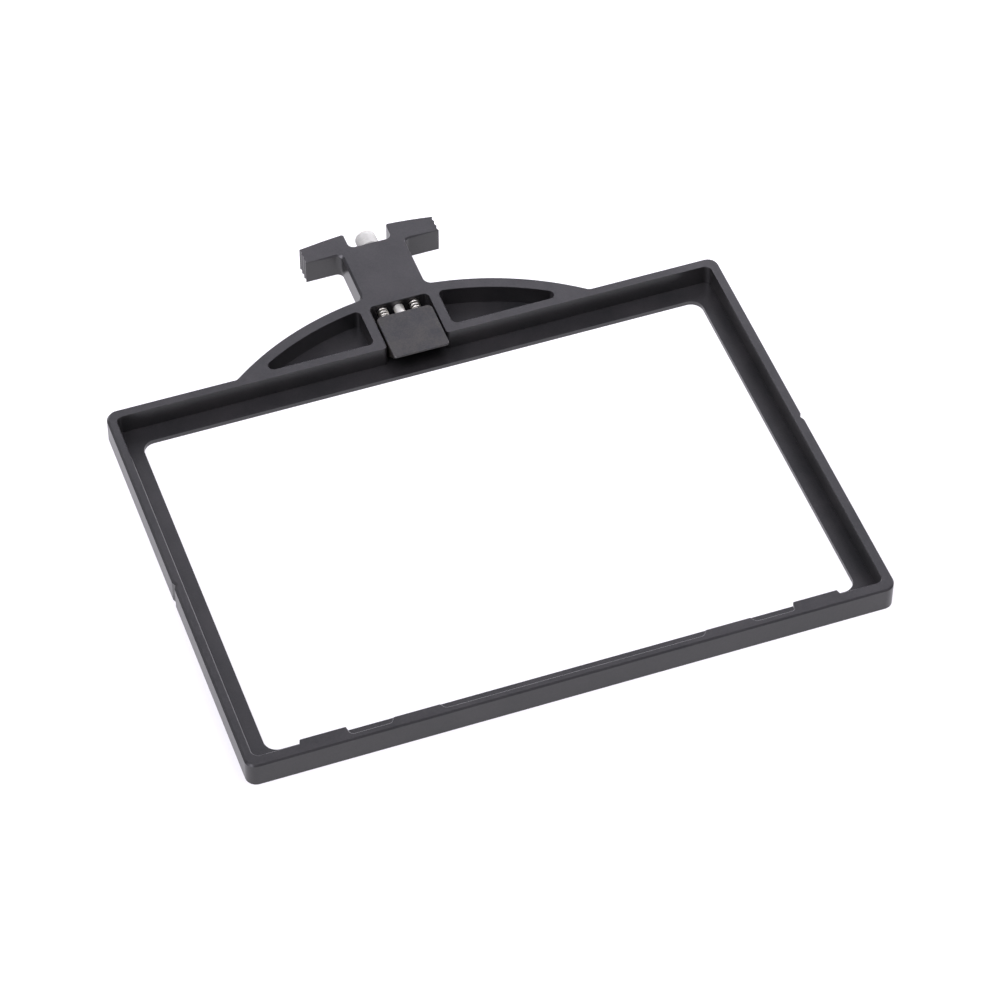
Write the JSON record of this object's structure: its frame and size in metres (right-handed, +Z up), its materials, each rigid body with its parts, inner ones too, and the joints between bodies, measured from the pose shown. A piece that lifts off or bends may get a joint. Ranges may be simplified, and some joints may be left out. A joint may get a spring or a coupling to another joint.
{
  "type": "matte box filter tray",
  "caption": "Slim black frame that holds a rectangular glass camera filter behind a near lip and a sprung sliding clamp, with an arched T-shaped handle and a small steel pull knob.",
  "frame": {"origin": "under the middle of the whole tray, on the plane of its flat underside", "axes": "+X along the long side of the filter window, +Y from the lip towards the T-handle, +Z up from the flat underside to the open side that takes the glass"},
  "size_m": [0.1484, 0.1442, 0.0063],
  "materials": {
    "frame": "fine matte black anodising over milled aluminium",
    "clamp": "satin black anodising, slightly mottled on the top face",
    "polished_steel": "polished stainless steel",
    "spring_steel": "bright drawn spring wire"
  },
  "bodies": {
    "frame": {"frame_body": "frame", "spring_left": "spring_steel", "spring_right": "spring_steel"},
    "clamp": {"clamp_slider": "clamp", "pull_rod": "polished_steel", "pull_knob": "polished_steel"}
  },
  "joints": [
    {"name": "clamp_slide", "type": "slide", "parent": "frame", "child": "clamp", "axis": [0, 1, 0], "range_m": [0, 0.0035], "stiffness_N_per_m": 5480, "springref_m": -0.0006, "deforming": ["spring_left", "spring_right"]}
  ]
}
